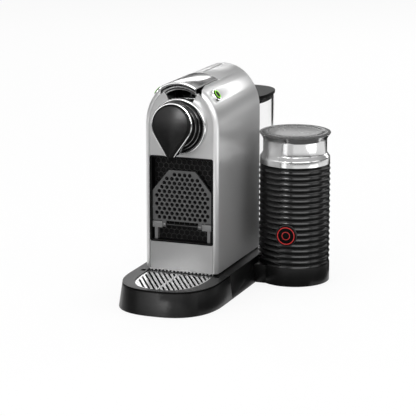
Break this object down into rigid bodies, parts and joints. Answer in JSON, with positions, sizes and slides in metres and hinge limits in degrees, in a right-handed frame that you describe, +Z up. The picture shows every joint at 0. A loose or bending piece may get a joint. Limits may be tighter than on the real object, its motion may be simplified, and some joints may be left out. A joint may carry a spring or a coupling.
{
  "type": "pod coffee machine",
  "caption": "Capsule coffee machine with an arched silver body, chrome lever, drop-shaped brew nose, drip tray drawer with a folding cup shelf, water tank and a docked milk frother.",
  "frame": {"origin": "on the surface the machine stands on, under the middle of the body's front face", "axes": "+X to the machine's right as seen from the front, +Y to its back, +Z up"},
  "size_m": [0.2171, 0.3716, 0.2778],
  "materials": {
    "black_plastic": "satin",
    "black_gloss": "gloss",
    "dark_plastic": "satin",
    "grey_plastic": "satin",
    "ivory_plastic": "satin",
    "silver_paint": "satin metallic paint",
    "button_cap": "gloss with a lit green rim",
    "chrome_plate": "chrome-plated plastic",
    "steel": "brushed",
    "cast_aluminium": "as cast",
    "brass_foil": "satin",
    "black_rubber": "matte",
    "board_green": "satin",
    "hose": "translucent",
    "clear_plastic": "clear",
    "smoked_plastic": "clear smoked"
  },
  "bodies": {
    "machine": {"base_shell": "black_plastic", "base_plate": "black_plastic", "rubber_feet": "black_rubber", "front_stay": "steel", "base_screws": "steel", "frother_dock": "black_plastic", "dock_connector": "grey_plastic", "left_shell": "silver_paint", "right_shell": "silver_paint", "rear_cover": "black_plastic", "seam_strip": "black_plastic", "front_panel": "silver_paint", "head_collar": "silver_paint", "head_drum": "black_gloss", "nose_trim": "chrome_plate", "nose_cover": "black_gloss", "coffee_spout": "black_gloss", "brew_plate": "steel", "slot_liner": "black_plastic", "brew_frame": "grey_plastic", "guide_rods": "steel", "lever_pin": "steel", "chassis": "grey_plastic", "heating_block": "cast_aluminium", "water_pump": "steel", "pump_seat": "black_rubber", "flow_meter": "ivory_plastic", "circuit_board": "board_green", "suction_hose": "hose", "pressure_pipe": "hose", "inlet_spigot": "grey_plastic", "cord_gland": "black_rubber", "left_button_ring": "chrome_plate", "right_button_ring": "chrome_plate"},
    "drawer": {"drip_tray": "black_plastic", "bin_front": "silver_paint", "backsplash": "black_plastic", "capsule_bin": "black_plastic", "hinge_blocks": "grey_plastic", "shelf_pin": "steel"},
    "grid": {"drip_grid": "steel"},
    "shelf": {"cup_shelf": "grey_plastic"},
    "lever": {"lever_cover": "chrome_plate", "lever_frame": "black_plastic"},
    "cage": {"capsule_cage": "ivory_plastic"},
    "left_cap": {"left_button": "button_cap"},
    "right_cap": {"right_button": "button_cap"},
    "tank": {"water_tank": "clear_plastic", "tank_valve": "black_rubber"},
    "tank_cover": {"tank_lid": "dark_plastic"},
    "frother": {"frother_casing": "black_plastic", "frother_jug": "steel", "frother_motor": "steel", "frother_heater": "brass_foil", "frother_bezel": "dark_plastic"},
    "frother_cap": {"frother_button": "black_gloss"},
    "frother_cover": {"frother_lid": "smoked_plastic", "lid_seal": "black_rubber"},
    "stirrer": {"whisk": "steel"}
  },
  "joints": [
    {"name": "lever_lift", "type": "hinge", "parent": "machine", "child": "lever", "pos_m": [0, 0.044, 0.248], "axis": [-1, 0, 0], "range_deg": [0, 65]},
    {"name": "cage_slide", "type": "slide", "parent": "machine", "child": "cage", "axis": [0, 1, 0], "range_m": [0, 0.022]},
    {"name": "drawer_slide", "type": "slide", "parent": "machine", "child": "drawer", "axis": [0, -1, 0], "range_m": [0, 0.13]},
    {"name": "grid_lift", "type": "slide", "parent": "drawer", "child": "grid", "axis": [0, 0, 1], "range_m": [0, 0.05]},
    {"name": "shelf_fold", "type": "hinge", "parent": "drawer", "child": "shelf", "pos_m": [0, 0.005, 0.092], "axis": [1, 0, 0], "range_deg": [0, 90]},
    {"name": "left_button_push", "type": "slide", "parent": "machine", "child": "left_cap", "axis": [0.8016, 0, -0.5979], "range_m": [0, 0.0015], "stiffness_N_per_m": 300, "springref_m": -0.002},
    {"name": "right_button_push", "type": "slide", "parent": "machine", "child": "right_cap", "axis": [-0.8016, 0, -0.5979], "range_m": [0, 0.0015], "stiffness_N_per_m": 300, "springref_m": -0.002},
    {"name": "tank_lift", "type": "slide", "parent": "machine", "child": "tank", "axis": [0, 0, 1], "range_m": [0, 0.08]},
    {"name": "tank_lid_lift", "type": "slide", "parent": "tank", "child": "tank_cover", "axis": [0, 0, 1], "range_m": [0, 0.04]},
    {"name": "frother_lift", "type": "slide", "parent": "machine", "child": "frother", "axis": [0, 0, 1], "range_m": [0, 0.06]},
    {"name": "frother_button_push", "type": "slide", "parent": "frother", "child": "frother_cap", "axis": [-0.0872, 0.9962, 0], "range_m": [0, 0.001], "stiffness_N_per_m": 300, "springref_m": -0.002},
    {"name": "frother_lid_lift", "type": "slide", "parent": "frother", "child": "frother_cover", "axis": [0, 0, 1], "range_m": [0, 0.04]},
    {"name": "whisk_spin", "type": "hinge", "parent": "frother", "child": "stirrer", "pos_m": [0.1056, 0.1348, 0.08], "axis": [0, 0, 1], "continuous": true}
  ],
  "couplings": [
    {"joint": "cage_slide", "follows": "lever_lift", "m_per_rad": 0.0193}
  ]
}
